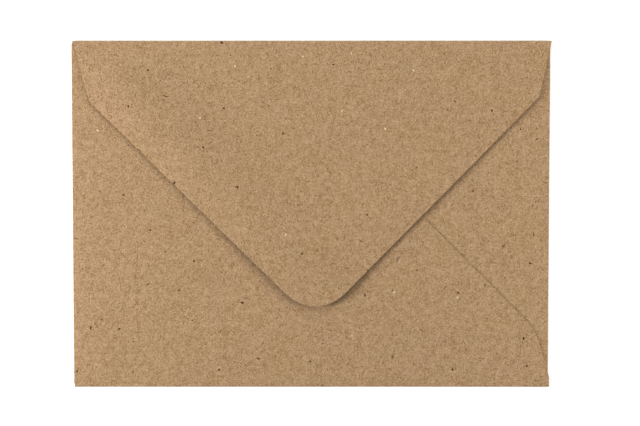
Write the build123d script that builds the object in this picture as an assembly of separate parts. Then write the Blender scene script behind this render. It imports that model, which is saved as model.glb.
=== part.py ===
from build123d import *
import os
from math import asin, atan2, cos, hypot, radians, sin

# A pointed-flap envelope, folded and glued from one sheet of kraft paper. It lies shut on
# its front, with its flaps up: X runs along its long side, Y towards the closing fold and
# Z out of its back. The origin is at the middle of its front face. All lengths are in mm.

# The folded envelope
WIDTH = 184.15              # from side fold to side fold (7 1/4 in)
HEIGHT = 133.9              # from bottom fold to closing fold (5 1/4 in, folded 0.5 mm over)
PAPER = 0.18                # the sheet's thickness
POCKET = 0.35               # free height inside the empty pocket
CORNER_RELIEF = 0.3         # gap between the end of a side fold and the fold next to it

# Side flaps, folded in first
SIDE_DEPTH = 60.5
SIDE_TIP_RADIUS = 15.0

# Bottom flap, glued down over both side flaps
BOTTOM_DEPTH = 86.0
BOTTOM_TIP_RADIUS = 55.0
BOTTOM_SHOULDER_INSET = 4.66
BOTTOM_SHOULDER_DROP = 22.2
BOTTOM_SHOULDER_RADIUS = 22.0
BOTTOM_UPRIGHT = 5.9        # how far it follows the side fold before it narrows
BOTTOM_UPRIGHT_RADIUS = 6.0

# Closing flap, laid over the rest and not stuck down
CLOSING_DEPTH = 102.5
CLOSING_TIP_RADIUS = 18.5
CLOSING_SHOULDER_INSET = 5.1
CLOSING_SHOULDER_DROP = 23.0
CLOSING_SHOULDER_RADIUS = 4.0
CLOSING_END_INSET = 0.4     # how much shorter it is than the pocket at each end of its fold
CLOSING_SHIFT = 0.6         # how far it sits off the pocket's centre line
CLOSING_SKEW = 0.5          # degrees that it is turned out of square
CLOSING_CLEARANCE = 0.12    # air between it and the bottom flap at the fold
CLOSING_SPRING = 0.8        # degrees that its fold stands open

OVERRUN = 2.0               # how far cutting shapes run past what they cut

# The height at which each fold lets its flap down
SIDE_LEVEL = PAPER + POCKET
BOTTOM_LEVEL = SIDE_LEVEL + PAPER
CLOSING_LEVEL = BOTTOM_LEVEL + PAPER + CLOSING_CLEARANCE


def fold_radius(level):
    """Outer radius of the half-round fold that lets a flap down at this level."""
    return (level + PAPER) / 2


SIDE_FOLD = fold_radius(SIDE_LEVEL)
BOTTOM_FOLD = fold_radius(BOTTOM_LEVEL)
CLOSING_FOLD = fold_radius(CLOSING_LEVEL)
SIDE_START = BOTTOM_FOLD + CORNER_RELIEF        # from the bottom edge to a side fold's lower end
SIDE_STOP = CLOSING_FOLD + CORNER_RELIEF        # from the top edge to its upper end
SIDE_LENGTH = HEIGHT - SIDE_START - SIDE_STOP
SIDE_MIDDLE = (SIDE_START - SIDE_STOP) / 2


def polar(centre, radius, angle):
    """The point at this angle, in degrees, on a circle."""
    return (centre[0] + radius * cos(radians(angle)), centre[1] + radius * sin(radians(angle)))


def folded_strip(length, reach, level, spring=0.0):
    """The sheet turned up round a fold along X at Y = 0 and laid back towards +Y.

    The fold is a half tube, less the angle that it springs open, and the leg runs straight on
    from it. The strip is centred on X.
    """
    outer = fold_radius(level)
    inner = outer - PAPER
    centre = (outer, outer)
    over = polar(centre, outer, 90 + spring)
    under = polar(centre, inner, 90 + spring)
    leg = reach / cos(radians(spring))
    section = make_face([
        CenterArc(centre, outer, 90 + spring, 180 - spring),
        CenterArc(centre, inner, 90 + spring, 180 - spring),
        Line((outer, 0), (outer, PAPER)),
        Line(over, polar(over, leg, spring)),
        Line(under, polar(under, leg, spring)),
        Line(polar(over, leg, spring), polar(under, leg, spring)),
    ])
    return extrude(Plane.YZ * section, amount=length / 2, both=True)


def apex_depth(shoulder, depth, radius):
    """Depth at which the straight edge from a shoulder would meet the flap's centre line.

    The edge touches the circle that rounds the tip, and that circle just reaches the depth.
    """
    across, down = -shoulder[0], depth - radius - shoulder[1]
    angle = atan2(down, across) - asin(radius / hypot(across, down))
    return shoulder[1] + shoulder[0] * sin(angle) / -cos(angle)


def flap(length, level, side, radii, depth, tip_radius, spring=0.0, place=Location()):
    """A flap with its fold, on a fold line along X at Y = 0.

    side holds the corners of the right-hand edge from the fold inwards, and radii rounds each
    of them but the first. The left-hand edge mirrors it, and place moves the outline alone.
    """
    apex = (0, apex_depth(side[-1], depth, tip_radius))
    corners = side + [apex] + [(-x, y) for x, y in reversed(side)]
    edge = FilletPolyline(*corners, radius=radii + [tip_radius] + radii[::-1])
    plan = make_face([edge, Line(corners[-1], corners[0])])
    cutter = Pos(0, 0, -OVERRUN) * extrude(place * plan, amount=level + 4 * OVERRUN)
    return folded_strip(length, depth + OVERRUN, level, spring) & cutter


def front_panel():
    """The front, flat from fold to fold, and square at its corners past the side folds' ends."""
    depth = HEIGHT - BOTTOM_FOLD - CLOSING_FOLD
    middle = (BOTTOM_FOLD - CLOSING_FOLD) / 2
    sheet = Pos(0, middle) * Rectangle(WIDTH, depth)
    for end in (-1, 1):
        edge = end * (WIDTH - SIDE_FOLD) / 2
        sheet -= Pos(edge, SIDE_MIDDLE) * Rectangle(SIDE_FOLD, SIDE_LENGTH)
    return extrude(sheet, amount=PAPER)


def side_flap():
    """A triangular flap with a rounded tip, its edges running in from the pocket's corners."""
    side = [(SIDE_LENGTH / 2, 0)]
    return flap(SIDE_LENGTH, SIDE_LEVEL, side, [], SIDE_DEPTH, SIDE_TIP_RADIUS)


def bottom_flap():
    """The large blunt flap that is glued over the side flaps and closes the pocket."""
    end = WIDTH / 2
    shoulder = (end - BOTTOM_SHOULDER_INSET, BOTTOM_SHOULDER_DROP)
    side = [(end, 0), (end, BOTTOM_UPRIGHT), shoulder]
    radii = [BOTTOM_UPRIGHT_RADIUS, BOTTOM_SHOULDER_RADIUS]
    return flap(WIDTH, BOTTOM_LEVEL, side, radii, BOTTOM_DEPTH, BOTTOM_TIP_RADIUS)


def closing_flap():
    """The pointed flap that shuts the envelope, a little out of square and sprung open."""
    end = WIDTH / 2 - CLOSING_END_INSET
    shoulder = (WIDTH / 2 - CLOSING_SHOULDER_INSET, CLOSING_SHOULDER_DROP)
    side = [(end, -OVERRUN), (end, 0), shoulder]
    radii = [0.0, CLOSING_SHOULDER_RADIUS]
    place = Pos(-CLOSING_SHIFT) * Rot(0, 0, CLOSING_SKEW)
    return flap(WIDTH, CLOSING_LEVEL, side, radii, CLOSING_DEPTH, CLOSING_TIP_RADIUS,
                spring=CLOSING_SPRING, place=place)


def folded_envelope():
    """Every flap on its own edge of the front, joined into the one folded sheet."""
    return (
        front_panel()
        + Pos(WIDTH / 2, SIDE_MIDDLE) * Rot(0, 0, 90) * side_flap()
        + Pos(-WIDTH / 2, SIDE_MIDDLE) * Rot(0, 0, -90) * side_flap()
        + Pos(0, -HEIGHT / 2) * bottom_flap()
        + Pos(0, HEIGHT / 2) * Rot(0, 0, 180) * closing_flap()
    )


envelope = folded_envelope()
envelope.label = "envelope"
os.makedirs("parts", exist_ok=True)
export_step(envelope, "parts/envelope.step")
print("envelope", len(envelope.solids()), "solid,", round(envelope.volume, 1), "mm3")
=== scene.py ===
import math

import bpy
import numpy as np
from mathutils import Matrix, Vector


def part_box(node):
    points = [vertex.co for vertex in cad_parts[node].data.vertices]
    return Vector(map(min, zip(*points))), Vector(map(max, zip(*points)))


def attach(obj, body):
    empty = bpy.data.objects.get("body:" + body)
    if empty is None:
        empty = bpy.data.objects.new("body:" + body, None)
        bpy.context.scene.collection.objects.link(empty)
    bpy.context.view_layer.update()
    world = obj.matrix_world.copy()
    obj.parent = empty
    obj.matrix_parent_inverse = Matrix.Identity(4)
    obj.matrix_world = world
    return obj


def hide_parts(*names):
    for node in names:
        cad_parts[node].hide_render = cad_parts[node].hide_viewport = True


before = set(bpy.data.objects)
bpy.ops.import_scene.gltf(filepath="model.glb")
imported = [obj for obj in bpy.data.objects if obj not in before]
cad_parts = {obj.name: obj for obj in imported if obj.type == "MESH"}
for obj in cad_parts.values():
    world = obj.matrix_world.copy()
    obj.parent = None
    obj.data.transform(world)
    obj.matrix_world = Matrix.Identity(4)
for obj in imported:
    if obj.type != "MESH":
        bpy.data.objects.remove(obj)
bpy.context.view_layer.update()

# ---------------------------------------------------------------------------------------
# The front of the envelope is the middle of one die-cut sheet of kraft paper, and lies
# flat on the table. The other four parts of the sheet fold over from its edges.
# The sheet's shape is worked out in millimetres, at the middle of its thickness.

MM = 0.001
PAPER = 0.18             # the sheet's thickness
low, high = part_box("envelope")
WIDTH = (high[0] - low[0]) / MM
HEIGHT = (high[1] - low[1]) / MM
SIDE_BEND = 0.2          # how far each fold's rounding reaches in from the outline
BOTTOM_BEND = 0.28
CLOSING_BEND = 0.34
CORNER_NOTCH = 0.9       # the side folds stop this short of the other two
CORNER_RISE = 0.08       # how far the corners rise off the table, on average
RIGHT_SHARE = 0.8        # the right corners rise more than that by this share, the left less
CELL = 1.9               # spacing of the front's grid
EDGE_ROW = 0.35          # how near the line next to a fold or a cut edge lies to it

half_width = WIDTH / 2 - PAPER / 2 - SIDE_BEND
front_bottom = -HEIGHT / 2 + PAPER / 2 + BOTTOM_BEND
front_top = HEIGHT / 2 - PAPER / 2 - CLOSING_BEND


def even_steps(start, end, margin, step):
    """The two ends, and evenly spaced points from a margin inside one to one inside the other."""
    count = max(2, round((end - start - 2 * margin) / step))
    return np.concatenate([[start], np.linspace(start + margin, end - margin, count + 1), [end]])


def front_height(x, y):
    """Half the paper's thickness, plus a rise towards the corners: the square of the product
    of x and y, each as a share of the way out, and more of it on the right."""
    u, v = 2 * x / WIDTH, 2 * y / HEIGHT
    return PAPER / 2 + CORNER_RISE * (u * v) ** 2 * (1 + RIGHT_SHARE * u)


columns = even_steps(-half_width, half_width, EDGE_ROW, CELL)
rows = even_steps(front_bottom, front_top, CORNER_NOTCH, CELL)
across, up = np.meshgrid(columns, rows)
front_points = np.dstack([across, up, front_height(across, up)]).reshape(-1, 3)
front_blank = front_points[:, :2]
front = np.arange(across.size).reshape(across.shape)

# the points of each part of the sheet, as folded and on the flat blank, and its faces
sheet_points = [front_points]
blank_points = [front_blank]
faces = []


def add_faces(index):
    """One face for each cell of a grid of point numbers, facing the outside of the sheet."""
    cells = np.stack([index[:-1, :-1], index[1:, :-1], index[1:, 1:], index[:-1, 1:]], -1)
    faces.append(cells.reshape(-1, 4))


add_faces(front)

# ---------------------------------------------------------------------------------------
# The side flaps are cut in one with the front and are folded in first. They are triangles
# with rounded tips, whose edges run in from the corners of the pocket.

SIDE_DEPTH = 60.5
SIDE_TIP_RADIUS = 15.0
POCKET_AT_FOLDS = 0.12   # free height inside the pocket, along its folds and in its middle
POCKET_MIDDLE = 0.5
LEFT_SPRING = 0.25       # the left fold springs this much further open
SPRING_RISE = 2.2        # lengths in from the fold over which that comes and goes
SPRING_FADE = 40.0
ROW = 1.5                # spacing of a flap's rows, down from its fold
ARC_STEPS = 40
BEND_STEPS = 8


def rounded_path(corners, radii):
    """Straight runs joined by arcs, each touching its two runs radius * tan(turn / 2) from
    the corner. Returns the path's points and the length along it to each of them."""
    corners = [np.array(c, float) for c in corners]
    path = [corners[0]]
    for before, corner, after, radius in zip(corners, corners[1:], corners[2:], radii):
        into = (corner - before) / np.linalg.norm(corner - before)
        out = (after - corner) / np.linalg.norm(after - corner)
        turn = math.atan2(into[0] * out[1] - into[1] * out[0], into @ out)
        spoke = math.copysign(radius, turn) * np.array([into[1], -into[0]])
        centre = corner - into * radius * math.tan(abs(turn) / 2) - spoke
        angles = np.linspace(0, turn, ARC_STEPS)[:, None]
        turned = np.array([-spoke[1], spoke[0]])
        path.extend(centre + np.cos(angles) * spoke + np.sin(angles) * turned)
    path = np.array(path + [corners[-1]])
    steps = np.linalg.norm(np.diff(path, axis=0), axis=1)
    return path, np.concatenate([[0], np.cumsum(steps)])


def leaf(near, left, apex, right, radii, tip_radius):
    """A flap's plan as a grid that its four edges fill: the fold, the two sides down to where
    the rounded tip starts, and the tip.

    near holds the positions across, along the fold. left and right hold the corners of each
    side from the fold down to the shoulder. Each inner point is the sum of where the two
    pairs of opposite edges would put it, less what the four corners count twice.
    """
    corners = [*left, apex, *right[::-1]]
    path, lengths = rounded_path(corners, [*radii, tip_radius, *radii[::-1]])
    tip_from, tip_to = lengths[[1 + ARC_STEPS * len(radii), ARC_STEPS * (len(radii) + 1)]]

    def at(length):
        return np.stack([np.interp(length, lengths, path[:, i]) for i in (0, 1)], -1)

    s = (near - near[0]) / (near[-1] - near[0])
    t = even_steps(0, 1, EDGE_ROW / tip_from, ROW / tip_from)
    fold = np.stack([near, np.interp(s, [0, 1], [left[0][1], right[0][1]])], -1)
    tip = at(tip_from + s * (tip_to - tip_from))
    left_side = at(t * tip_from)
    right_side = at(lengths[-1] - t * (lengths[-1] - tip_to))
    s, t = s[None, :, None], t[:, None, None]
    between_sides = (1 - s) * left_side[:, None] + s * right_side[:, None]
    between_ends = (1 - t) * fold + t * tip
    counted_twice = ((1 - t) * ((1 - s) * fold[0] + s * fold[-1])
                     + t * ((1 - s) * tip[0] + s * tip[-1]))
    return between_sides + between_ends - counted_twice


def fold_in(edge, plan, origin, along, inward, bend, height):
    """Adds a flap to the sheet: the bend from the front's edge, then the leaf.

    plan measures the leaf along the fold and inward from it, and height gives its level at
    each place. The bend is half an ellipse, from the front up to the leaf, reaching bend
    outward. On the flat blank the leaf lies outside the fold, past the bend's length.
    """
    origin, along, inward = (np.array(v, float) for v in (origin, along, inward))
    place = origin + plan[..., :1] * along + plan[..., 1:] * inward
    over = np.dstack([place, height(place[..., 0], place[..., 1])])
    under = front_points[edge]
    turn = np.linspace(0, np.pi, BEND_STEPS + 1)[1:-1, None, None]
    mix = (1 - np.cos(turn)) / 2
    round_fold = (1 - mix) * under + mix * over[0]
    round_fold[..., :2] -= inward * bend * np.sin(turn)
    folded = np.concatenate([round_fold, over])

    rise = np.mean(over[0, :, 2] - under[:, 2])
    bend_length = np.pi * math.sqrt((bend ** 2 + (rise / 2) ** 2) / 2)
    flat_over = origin + plan[..., :1] * along - (plan[..., 1:] + bend_length) * inward
    flat_fold = front_blank[edge] - turn / np.pi * bend_length * inward
    flat = np.concatenate([flat_fold, flat_over])

    first = sum(len(points) for points in sheet_points)
    index = first + np.arange(folded[..., 0].size).reshape(folded.shape[:2])
    sheet_points.append(folded.reshape(-1, 3))
    blank_points.append(flat.reshape(-1, 2))
    add_faces(np.concatenate([edge[None], index]))


def pocket_height(x, y):
    """Free height inside the pocket: a low pillow that dies away towards the folds, and
    springs up soonest inside the left one.

    The pillow is 1 less the fourth power of the share of the way out, across times up. The
    spring is an exponential rise times an exponential fade across, and 1 less the eighth
    power of the share of the way out up and down.
    """
    u, v = 2 * x / WIDTH, 2 * y / HEIGHT
    swell = (1 - u ** 4) * (1 - v ** 4)
    from_left = x + half_width
    spring = (1 - np.exp(-from_left / SPRING_RISE)) * np.exp(-from_left / SPRING_FADE)
    return (POCKET_AT_FOLDS + (POCKET_MIDDLE - POCKET_AT_FOLDS) * swell
            + LEFT_SPRING * spring * (1 - v ** 8))


def side_height(x, y):
    """The level of the side flaps: one paper and the pocket's free height over the front."""
    return front_height(x, y) + PAPER + pocket_height(x, y)


side_rows = rows[1:-1]
side_start, side_stop = side_rows[0], side_rows[-1]
side_middle = (side_start + side_stop) / 2
side_half = (side_stop - side_start) / 2
for way in (-1, 1):
    edge = front[1:-1, 0] if way < 0 else front[-2:0:-1, -1]
    near = np.sort(way * (side_middle - side_rows))
    plan = leaf(near, [(near[0], 0)], (0, side_half), [(near[-1], 0)], [], SIDE_TIP_RADIUS)
    fold_in(edge, plan, (way * half_width, side_middle), (0, -way), (-way, 0), SIDE_BEND,
            side_height)

# ---------------------------------------------------------------------------------------
# The bottom flap is large and blunt. It is folded up second and glued over both side
# flaps, which closes the pocket. Its edges show on both sides of the closing flap.

BOTTOM_SHIFT = 0.4       # it is folded this far out of true
BOTTOM_HALF = 92.1       # half its width at the fold
BOTTOM_UPRIGHT = 4.05    # it follows the side folds this far up before it narrows
BOTTOM_SHOULDER = (86.5, 22.58)  # across from its middle, and up from the bottom edge
BOTTOM_RADII = [6.0, 22.0]       # where it narrows, and at its shoulder
BOTTOM_TIP_RADIUS = 55.0
GLUE = 0.02
SIDE_MARGIN = 0.4        # it stays up on the side flaps this far past their edges
RELAX = 12.0             # and has come down to the front at this distance from them
RIGHT_EDGE_LIFT = 0.09   # how far its two cut edges stand off the side flaps
LEFT_EDGE_LIFT = 0.12
EDGE_LIFT_FADE = 3.0     # the lift fades over this length inside the edge
EDGE_LIFT_START = 12.0   # and is full at this distance above the fold


def smooth(low_value, high_value, value):
    """0 below the first value, 1 above the second, and a smooth S between them."""
    t = np.clip((value - low_value) / (high_value - low_value), 0, 1)
    return t * t * (3 - 2 * t)


def inset(x, y, start, end):
    """Distance to the left of the line from start to end."""
    run, rise = end[0] - start[0], end[1] - start[1]
    return (run * (y - start[1]) - rise * (x - start[0])) / math.hypot(run, rise)


def over_sides(x, y):
    """1 over the side flaps, falling smoothly to 0 past their edges and tips."""
    x = np.abs(x)
    lower = inset(x, y, (half_width, side_start), (half_width - side_half, side_middle))
    upper = inset(x, y, (half_width - side_half, side_middle), (half_width, side_stop))
    tip = x - (half_width - SIDE_DEPTH)
    inside = np.minimum(np.minimum(-lower, -upper), tip)
    return smooth(-RELAX, -SIDE_MARGIN, inside)


# its two straight edges run in at 45 degrees
shoulder_x, shoulder_y = BOTTOM_SHOULDER
bottom_apex = shoulder_y + shoulder_x


def bottom_height(x, y):
    """The level of the bottom flap: on the side flaps, and lower between them. Its two cut
    edges stand off the side flaps a little, by a lift that fades exponentially inward."""
    base = -HEIGHT / 2
    right = inset(x, y, (shoulder_x + BOTTOM_SHIFT, base + shoulder_y),
                  (BOTTOM_SHIFT, base + bottom_apex))
    left = inset(x, y, (BOTTOM_SHIFT, base + bottom_apex),
                 (BOTTOM_SHIFT - shoulder_x, base + shoulder_y))
    edge_lift = (RIGHT_EDGE_LIFT * np.exp(-np.maximum(right, 0) / EDGE_LIFT_FADE)
                 + LEFT_EDGE_LIFT * np.exp(-np.maximum(left, 0) / EDGE_LIFT_FADE))
    level = front_height(x, y) + PAPER + pocket_height(x, y)
    return (level + (PAPER + GLUE) * over_sides(x, y)
            + edge_lift * smooth(0, EDGE_LIFT_START, y - base))


near = np.interp(columns, [columns[0], columns[-1]], [-BOTTOM_HALF, BOTTOM_HALF])
bottom_offset = front_bottom + HEIGHT / 2
side = [(BOTTOM_HALF, 0), (BOTTOM_HALF, BOTTOM_UPRIGHT - bottom_offset),
        (shoulder_x, shoulder_y - bottom_offset)]
mirrored = [(-x, y) for x, y in side]
plan = leaf(near, mirrored, (0, bottom_apex - bottom_offset), side, BOTTOM_RADII,
            BOTTOM_TIP_RADIUS)
fold_in(front[0, ::-1], plan, (BOTTOM_SHIFT, front_bottom), (-1, 0), (0, 1), BOTTOM_BEND,
        bottom_height)

# ---------------------------------------------------------------------------------------
# The closing flap is deep and pointed, with a rounded tip. It is laid over the rest and
# not stuck down, so that it springs open a little. It is folded slightly out of true.

# its outline: ends across the fold, and corners across and down from the middle of the top
CLOSING_ENDS = (-91.4, 92.45)
LEFT_SHOULDER = (-85.0, 23.5)
RIGHT_SHOULDER = (87.88, 21.47)
CLOSING_APEX = (1.92, 108.74)
CLOSING_SHOULDER_RADIUS = 2.0
CLOSING_TIP_RADIUS = 15.8

# How it stands off the paper below it. Each pair gives where an effect starts and where it
# is full: DOWN from the fold, or IN from the flap's left or right edge.
AIR = 0.15               # where it lies closest
OPENING = 0.4            # it opens towards its tip
OPENING_DOWN = (0, 85)
LEFT_OPENING = 0.5       # and opens more towards its left edge
LEFT_OPENING_DOWN = (15, 85)
LEFT_OPENING_IN = (45, 0)
TIP_OPENING = 0.35       # and still more near its tip
TIP_OPENING_DOWN = (50, 100)
TIP_OPENING_IN = (60, 20)
TIP_RIGHT_SHARE = 0.25   # but only by this share of that at its right edge
TIP_RIGHT_IN = (0, 22)
RIDGE_SLOPE = 0.28       # a ridge runs inside its left edge, with this slope at the edge
RIDGE_TOP = 12.5         # and its top this far in
RIDGE_FADE = 30.0        # it dies away over this length, past a shallow fall
RIDGE_REACH = 80.0
RIDGE_STEPS = 401
RIDGE_DOWN = (0, 18)
RIDGE_DROP = 0.45        # it is lower by this share towards the tip
RIDGE_DROP_DOWN = (20, 85)
RIDGE_TIP_DROP = 0.65    # and by this share again at the tip
RIDGE_TIP_DOWN = (72, 98)
RIGHT_LIFT = 0.14        # its right edge stands off too
RIGHT_LIFT_FADE = 14.0
RIGHT_LIFT_DOWN = (30, 70)
RIGHT_TIP_DROP = 0.6     # and does so less by this share at the tip
RIGHT_TIP_DOWN = (85, 102)
CORNER_LIFT = 0.15       # its upper left corner stands off, near the envelope's left fold
CORNER_LIFT_DOWN = (3, 16)
CORNER_LIFT_IN = (18, 6)

# the same corners, measured down from where the bend ends and the leaf starts
closing_offset = HEIGHT / 2 - front_top
left_shoulder, right_shoulder, closing_apex = (
    (x, depth - closing_offset) for x, depth in (LEFT_SHOULDER, RIGHT_SHOULDER, CLOSING_APEX))

# the ridge's height is the running sum of its slope: a cosine, 0 at the top, under a bell
ridge_run = np.linspace(0, RIDGE_REACH, RIDGE_STEPS)
ridge_slope = np.exp(-(ridge_run / RIDGE_FADE) ** 2) * np.cos(math.pi / 2 * ridge_run / RIDGE_TOP)
ridge_rise = RIDGE_SLOPE * np.cumsum(ridge_slope) * (ridge_run[1] - ridge_run[0])


def between(limits, value):
    """0 at the first limit and 1 at the second, whichever is larger, with a smooth S between."""
    start, full = limits
    return smooth(start, full, value) if start < full else 1 - smooth(full, start, value)


def closing_height(x, y):
    """The level of the closing flap over the three papers below it.

    It is the sum of its opening towards the tip, the ridge inside its left edge, the lift of
    its right edge, which falls off as a bell, and the lift of its upper left corner.
    """
    depth = front_top - y
    left = np.abs(inset(x, depth, left_shoulder, closing_apex))
    right = np.abs(inset(x, depth, right_shoulder, closing_apex))
    opening = (OPENING * between(OPENING_DOWN, depth)
               + LEFT_OPENING * between(LEFT_OPENING_DOWN, depth) * between(LEFT_OPENING_IN, left))
    tip_opening = TIP_OPENING * between(TIP_OPENING_DOWN, depth) * between(TIP_OPENING_IN, left)
    tip_share = TIP_RIGHT_SHARE + (1 - TIP_RIGHT_SHARE) * between(TIP_RIGHT_IN, right)
    ridge = np.interp(left, ridge_run, ridge_rise) * between(RIDGE_DOWN, depth)
    ridge = ridge * (1 - RIDGE_DROP * between(RIDGE_DROP_DOWN, depth))
    ridge = ridge * (1 - RIDGE_TIP_DROP * between(RIDGE_TIP_DOWN, depth))
    right_lift = RIGHT_LIFT * np.exp(-(right / RIGHT_LIFT_FADE) ** 2)
    right_lift = right_lift * between(RIGHT_LIFT_DOWN, depth)
    right_lift = right_lift * (1 - RIGHT_TIP_DROP * between(RIGHT_TIP_DOWN, depth))
    corner_lift = CORNER_LIFT * between(CORNER_LIFT_DOWN, depth)
    corner_lift = corner_lift * between(CORNER_LIFT_IN, x + half_width)
    base = front_height(x, y) + pocket_height(x, y) + 3 * PAPER + GLUE + AIR
    return base + (opening + tip_opening * tip_share) + ridge + right_lift + corner_lift


near = np.interp(columns, [columns[0], columns[-1]], CLOSING_ENDS)
plan = leaf(near, [(CLOSING_ENDS[0], 0), left_shoulder], closing_apex,
            [(CLOSING_ENDS[1], 0), right_shoulder], [CLOSING_SHOULDER_RADIUS],
            CLOSING_TIP_RADIUS)
fold_in(front[-1], plan, (0, front_top), (1, 0), (0, -1), CLOSING_BEND, closing_height)

# ---------------------------------------------------------------------------------------
# The whole sheet, with all its parts, is one piece of 120 g/m2 recycled kraft paper. Its
# colour, fibres and flecks lie as they did on the flat blank, and its cut edges are the same.

blank_map = np.concatenate(blank_points) * MM
mesh = bpy.data.meshes.new("envelope_sheet")
mesh.from_pydata(np.concatenate(sheet_points) * MM, [], np.concatenate(faces))
loops = np.empty(len(mesh.loops), int)
mesh.loops.foreach_get("vertex_index", loops)
mesh.uv_layers.new(name="blank").data.foreach_set("uv", blank_map[loops].ravel())
sheet = bpy.data.objects.new("envelope_sheet", mesh)
bpy.context.scene.collection.objects.link(sheet)


def add_node(tree, kind, inputs=None, **settings):
    """A node with its settings, and its inputs set to values or linked to sockets."""
    made = tree.nodes.new(kind)
    for name, value in settings.items():
        setattr(made, name, value)
    for name, value in (inputs or {}).items():
        if isinstance(value, bpy.types.NodeSocket):
            tree.links.new(value, made.inputs[name])
        else:
            made.inputs[name].default_value = value
    return made


def calculate(tree, operation, *values, clamp=False):
    """The result of a Math node."""
    settings = {"operation": operation, "use_clamp": clamp}
    return add_node(tree, "ShaderNodeMath", dict(enumerate(values)), **settings).outputs[0]


def calculate_vector(tree, operation, *values):
    """The result of a Vector Math node."""
    inputs = dict(enumerate(values))
    return add_node(tree, "ShaderNodeVectorMath", inputs, operation=operation).outputs[0]


# Fibres, specks and flecks are all the same thing at different sizes: short strokes, each
# an ellipse round its own random point, turned at random and bent to a parabola.
strokes = bpy.data.node_groups.new("scattered_strokes", "ShaderNodeTree")
for name in ("Place", "Shift"):
    strokes.interface.new_socket(name, in_out="INPUT", socket_type="NodeSocketVector")
for name in ("Spacing", "Half Length", "Half Width", "Curl", "Share", "Softness", "Spread"):
    strokes.interface.new_socket(name, in_out="INPUT", socket_type="NodeSocketFloat")
strokes.interface.new_socket("Mask", in_out="OUTPUT", socket_type="NodeSocketFloat")
given = add_node(strokes, "NodeGroupInput").outputs

# the way from the nearest stroke's own point to here, measured along it and across it
shifted = calculate_vector(strokes, "ADD", given["Place"], given["Shift"])
density = calculate(strokes, "DIVIDE", 1, given["Spacing"])
cells = add_node(strokes, "ShaderNodeTexVoronoi", {"Vector": shifted, "Scale": density},
                 voronoi_dimensions="2D").outputs
offset = calculate_vector(strokes, "SUBTRACT", shifted, cells["Position"])
chances = add_node(strokes, "ShaderNodeSeparateColor", {"Color": cells["Color"]}).outputs
angle = calculate(strokes, "MULTIPLY", chances[0], math.tau)
turned = add_node(strokes, "ShaderNodeVectorRotate", {"Vector": offset, "Angle": angle},
                  rotation_type="Z_AXIS").outputs[0]
parts = add_node(strokes, "ShaderNodeSeparateXYZ", {"Vector": turned}).outputs

# how far out that is, as squared shares of its half length and half width
curl = calculate(strokes, "SUBTRACT", chances[1], 0.5)
curl = calculate(strokes, "MULTIPLY", curl, given["Curl"])
squared = calculate(strokes, "MULTIPLY", parts[0], parts[0])
sideways = calculate(strokes, "MULTIPLY_ADD", curl, squared, parts[1])
lengthwise = calculate(strokes, "DIVIDE", parts[0], given["Half Length"])
lengthwise = calculate(strokes, "POWER", lengthwise, 2)
crosswise = calculate(strokes, "DIVIDE", sideways, given["Half Width"])
crosswise = calculate(strokes, "POWER", crosswise, 2)

# the strokes differ in size by the spread, and only a share of the points has one
evenly = calculate(strokes, "MULTIPLY_ADD", chances[1], 2, -1)
size = calculate(strokes, "MULTIPLY_ADD", evenly, given["Spread"], 1)
size = calculate(strokes, "MULTIPLY", size, size)
inside = calculate(strokes, "SUBTRACT", size, calculate(strokes, "ADD", lengthwise, crosswise))
soft = add_node(strokes, "ShaderNodeMapRange",
                {"Value": inside, "From Min": 0, "From Max": given["Softness"]},
                interpolation_type="SMOOTHSTEP").outputs[0]
present = calculate(strokes, "LESS_THAN", chances[2], given["Share"])
result = add_node(strokes, "NodeGroupOutput")
strokes.links.new(calculate(strokes, "MULTIPLY", soft, present), result.inputs["Mask"])

kraft = bpy.data.materials.new("kraft_paper")
kraft.use_nodes = True
tree = kraft.node_tree
tree.nodes.clear()
blank = add_node(tree, "ShaderNodeUVMap", uv_map="blank").outputs[0]
place = add_node(tree, "ShaderNodeMapping", {"Vector": blank, "Scale": (1 / MM,) * 3}).outputs[0]


SLANT = 3.7              # layers are shifted along a line this steep


def scatter(spacing, half_length, half_width, share, shift, curl, softness, spread):
    """The mask of one layer of scattered strokes, sizes in millimetres."""
    values = {"Place": place, "Shift": (shift, SLANT * shift, 0), "Spacing": spacing,
              "Half Length": half_length, "Half Width": half_width, "Curl": curl,
              "Share": share, "Softness": softness, "Spread": spread}
    return add_node(tree, "ShaderNodeGroup", values, node_tree=strokes).outputs["Mask"]


def cloud(size, detail, shift):
    """Noise of a given size in millimetres, from about 0.3 to 0.7."""
    moved = calculate_vector(tree, "ADD", place, (shift, -shift, 0))
    values = {"Vector": moved, "Scale": 1 / size, "Detail": detail, "Roughness": 0.6}
    return add_node(tree, "ShaderNodeTexNoise", values, noise_dimensions="2D").outputs[0]


def centred(value, gain):
    """gain times how far a value is from a half."""
    return calculate(tree, "MULTIPLY", calculate(tree, "SUBTRACT", value, 0.5), gain)


def mix_colours(amount, first, second, blend_type="MIX"):
    """The colour of a Mix node, whose sockets 6 and 7 are its two colours."""
    return add_node(tree, "ShaderNodeMix", {0: amount, 6: first, 7: second},
                    data_type="RGBA", blend_type=blend_type).outputs[2]


# The tone of the pulp is clouds of several sizes, with light and dark fibres over them.
# Clouds have a size, a detail, a shift and a gain.
CLOUDS = ((0.42, 1, 53.1, 5.7), (0.9, 1, 3.1, 3.0), (2.6, 2, 11.3, 3.0), (9.0, 2, 27.9, 0.9))

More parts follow.
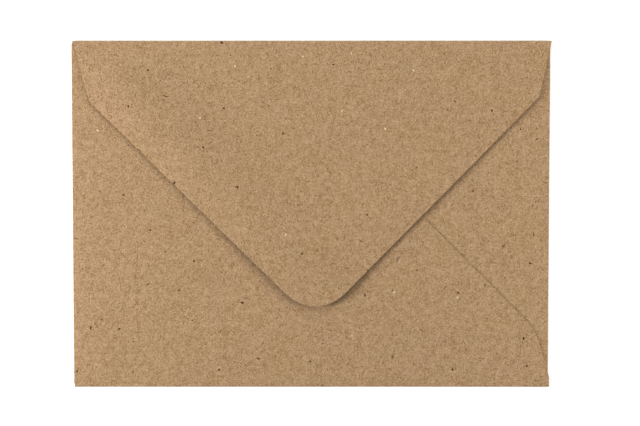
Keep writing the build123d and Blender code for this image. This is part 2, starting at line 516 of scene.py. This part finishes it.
# Fibres have a spacing, half a length, half a width, a share of the points that has one,
# and what they add to the tone. Each layer is shifted that much further than the last.
LIGHT_FIBRES = ((1.3, 0.85, 0.17, 0.7, 1.1), (1.9, 1.2, 0.18, 0.7, 1.2), (1.0, 0.6, 0.15, 0.7, 0.9))
LIGHT_SHIFT = 17.3
DARK_FIBRES = ((1.3, 0.8, 0.16, 0.5, -0.9), (2.3, 1.2, 0.18, 0.3, -2.1),
               (1.1, 0.45, 0.18, 0.5, -1.4), (3.1, 0.34, 0.22, 0.2, -3.6))
DARK_SHIFT = 41.9
FIBRE_LOOK = (1.2, 0.5, 0.0)     # curl, softness and spread of sizes
TONE_GAIN = 1.05 / 6
DARK_PULP = (0.245, 0.132, 0.0485, 1)
LIGHT_PULP = (0.563, 0.379, 0.2255, 1)

tone = None
for size, detail, shift, gain in CLOUDS:
    layer = centred(cloud(size, detail, shift), gain)
    tone = layer if tone is None else calculate(tree, "ADD", tone, layer)
light_fibres = None
for number, (*stroke, strength) in enumerate(LIGHT_FIBRES, 1):
    mask = scatter(*stroke, LIGHT_SHIFT * number, *FIBRE_LOOK)
    tone = calculate(tree, "MULTIPLY_ADD", mask, strength, tone)
    light_fibres = mask if light_fibres is None else calculate(tree, "MAXIMUM", light_fibres, mask)
for number, (*stroke, strength) in enumerate(DARK_FIBRES, 1):
    mask = scatter(*stroke, DARK_SHIFT * number, *FIBRE_LOOK)
    tone = calculate(tree, "MULTIPLY_ADD", mask, strength, tone)
level = calculate(tree, "MULTIPLY_ADD", tone, TONE_GAIN, 0.5, clamp=True)
paper = mix_colours(level, DARK_PULP, LIGHT_PULP)

# the stock is a little pinker in some places and yellower in others
PATCHES = (14.0, 1, 57.0)        # size, detail and shift
PATCH_GAIN = 1.2
PINKER = (1.003, 0.996, 1.03, 1)
YELLOWER = (0.997, 1.004, 0.955, 1)
patch = calculate(tree, "SUBTRACT", cloud(*PATCHES), 0.5)
patch = calculate(tree, "MULTIPLY_ADD", patch, PATCH_GAIN, 0.5, clamp=True)
paper = mix_colours(1.0, paper, mix_colours(patch, PINKER, YELLOWER), "MULTIPLY")

# Dark specks, long dark dashes and pale flecks have a spacing, half a length, half a width,
# a share of the points that has one, a shift, a strength and a colour.
FLECKS = ((6.5, 0.30, 0.22, 0.25, 5.0, 0.75, (0.11, 0.046, 0.016, 1)),
          (14.0, 0.44, 0.29, 0.3, 61.0, 0.97, (0.03, 0.011, 0.004, 1)),
          (23.0, 0.6, 0.36, 0.4, 77.0, 0.75, (0.11, 0.044, 0.015, 1)),
          (19.0, 1.1, 0.2, 0.16, 93.0, 0.8, (0.09, 0.036, 0.012, 1)),
          (22.0, 0.46, 0.25, 0.4, 133.0, 0.8, (0.80, 0.67, 0.48, 1)))
FLECK_LOOK = (0.8, 0.6, 0.4)     # curl, softness and spread of sizes
for *stroke, strength, colour in FLECKS:
    mask = scatter(*stroke, *FLECK_LOOK)
    paper = mix_colours(calculate(tree, "MULTIPLY", mask, strength), paper, colour)

# light fibres stand a little proud of the felted surface, and light pulp is a little smoother
FELT = (1.2, 3, 77.0)            # size, detail and shift
FIBRE_RELIEF = 0.25
RELIEF_DEPTH = 0.1 * MM
ROUGHNESS = 0.95
LIGHT_SMOOTHER = 0.1
relief = calculate(tree, "MULTIPLY_ADD", light_fibres, FIBRE_RELIEF, cloud(*FELT))
bump = add_node(tree, "ShaderNodeBump", {"Strength": 1.0, "Distance": RELIEF_DEPTH,
                                         "Height": relief}).outputs[0]
roughness = calculate(tree, "MULTIPLY_ADD", level, -LIGHT_SMOOTHER, ROUGHNESS)
shader = add_node(tree, "ShaderNodeBsdfPrincipled", {"Base Color": paper, "Roughness": roughness,
                                                     "Normal": bump, "Specular IOR Level": 0.08})
add_node(tree, "ShaderNodeOutputMaterial", {"Surface": shader.outputs[0]})
mesh.materials.append(kraft)

thickness = sheet.modifiers.new("paper", "SOLIDIFY")
thickness.thickness = PAPER * MM
thickness.offset = 0
thickness.use_even_offset = True
mesh.polygons.foreach_set("use_smooth", np.ones(len(mesh.polygons), bool))
# the cut edges, which belong to one face only, are square
loop_edges = np.empty(len(mesh.loops), int)
mesh.loops.foreach_get("edge_index", loop_edges)
cut_edges = np.bincount(loop_edges, minlength=len(mesh.edges)) == 1
mesh.edges.foreach_set("use_edge_sharp", cut_edges)

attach(sheet, "root")
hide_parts("envelope")

# ---------------------------------------------------------------------------------------
# The table is plain and white. A low lamp on its left, a large one past its far side and a
# weak one on its right light it, in a room of even pale light.

TABLE_HALF = 9
TABLE_TOP = -0.00002
table_corners = [(x * TABLE_HALF, y * TABLE_HALF, TABLE_TOP)
                 for x, y in ((-1, -1), (1, -1), (1, 1), (-1, 1))]
floor_mesh = bpy.data.meshes.new("table")
floor_mesh.from_pydata(table_corners, [], [(0, 1, 2, 3)])
floor = bpy.data.objects.new("table", floor_mesh)
bpy.context.scene.collection.objects.link(floor)
white = bpy.data.materials.new("white_table")
white.use_nodes = True
finish = white.node_tree.nodes["Principled BSDF"].inputs
finish["Base Color"].default_value = (0.93, 0.93, 0.93, 1)
finish["Roughness"].default_value = 0.9
finish["Specular IOR Level"].default_value = 0
finish["Emission Color"].default_value = (1, 1, 1, 1)
finish["Emission Strength"].default_value = 0.27
floor_mesh.materials.append(white)

world = bpy.data.worlds.new("room")
bpy.context.scene.world = world
world.use_nodes = True
room_light = world.node_tree.nodes["Background"].inputs
room_light["Color"].default_value = (1, 1, 1, 1)
room_light["Strength"].default_value = 0.23


def lamp(name, azimuth, elevation, distance, size, power):
    """A square area lamp aimed at the middle of the envelope, placed by angles in degrees."""
    data = bpy.data.lights.new(name, "AREA")
    data.shape = "SQUARE"
    data.size = size
    data.energy = power
    made = bpy.data.objects.new(name, data)
    bpy.context.scene.collection.objects.link(made)
    a, e = math.radians(azimuth), math.radians(elevation)
    flat = distance * math.cos(e)
    made.location = (flat * math.cos(a), flat * math.sin(a), distance * math.sin(e))
    made.rotation_euler = (math.pi / 2 - e, 0, a + math.pi / 2)


lamp("left_lamp", azimuth=185, elevation=21, distance=0.6, size=0.2, power=4.15)
lamp("top_lamp", azimuth=88, elevation=32, distance=0.9, size=0.72, power=4.85)
lamp("right_lamp", azimuth=-6, elevation=20, distance=0.42, size=0.13, power=0.84)

# the camera looks down on the flap side, tilted a little out of square
CAMERA_PLACE = (0.00353, 0.03026, 0.5838)
CAMERA_TILT = -2.902
camera_data = bpy.data.cameras.new("camera")
camera_data.lens = 85
camera_data.sensor_width = 36
camera = bpy.data.objects.new("camera", camera_data)
camera.location = CAMERA_PLACE
camera.rotation_euler = (math.radians(CAMERA_TILT), 0, 0)
bpy.context.scene.collection.objects.link(camera)
bpy.context.scene.camera = camera
bpy.context.scene.view_settings.view_transform = "Standard"
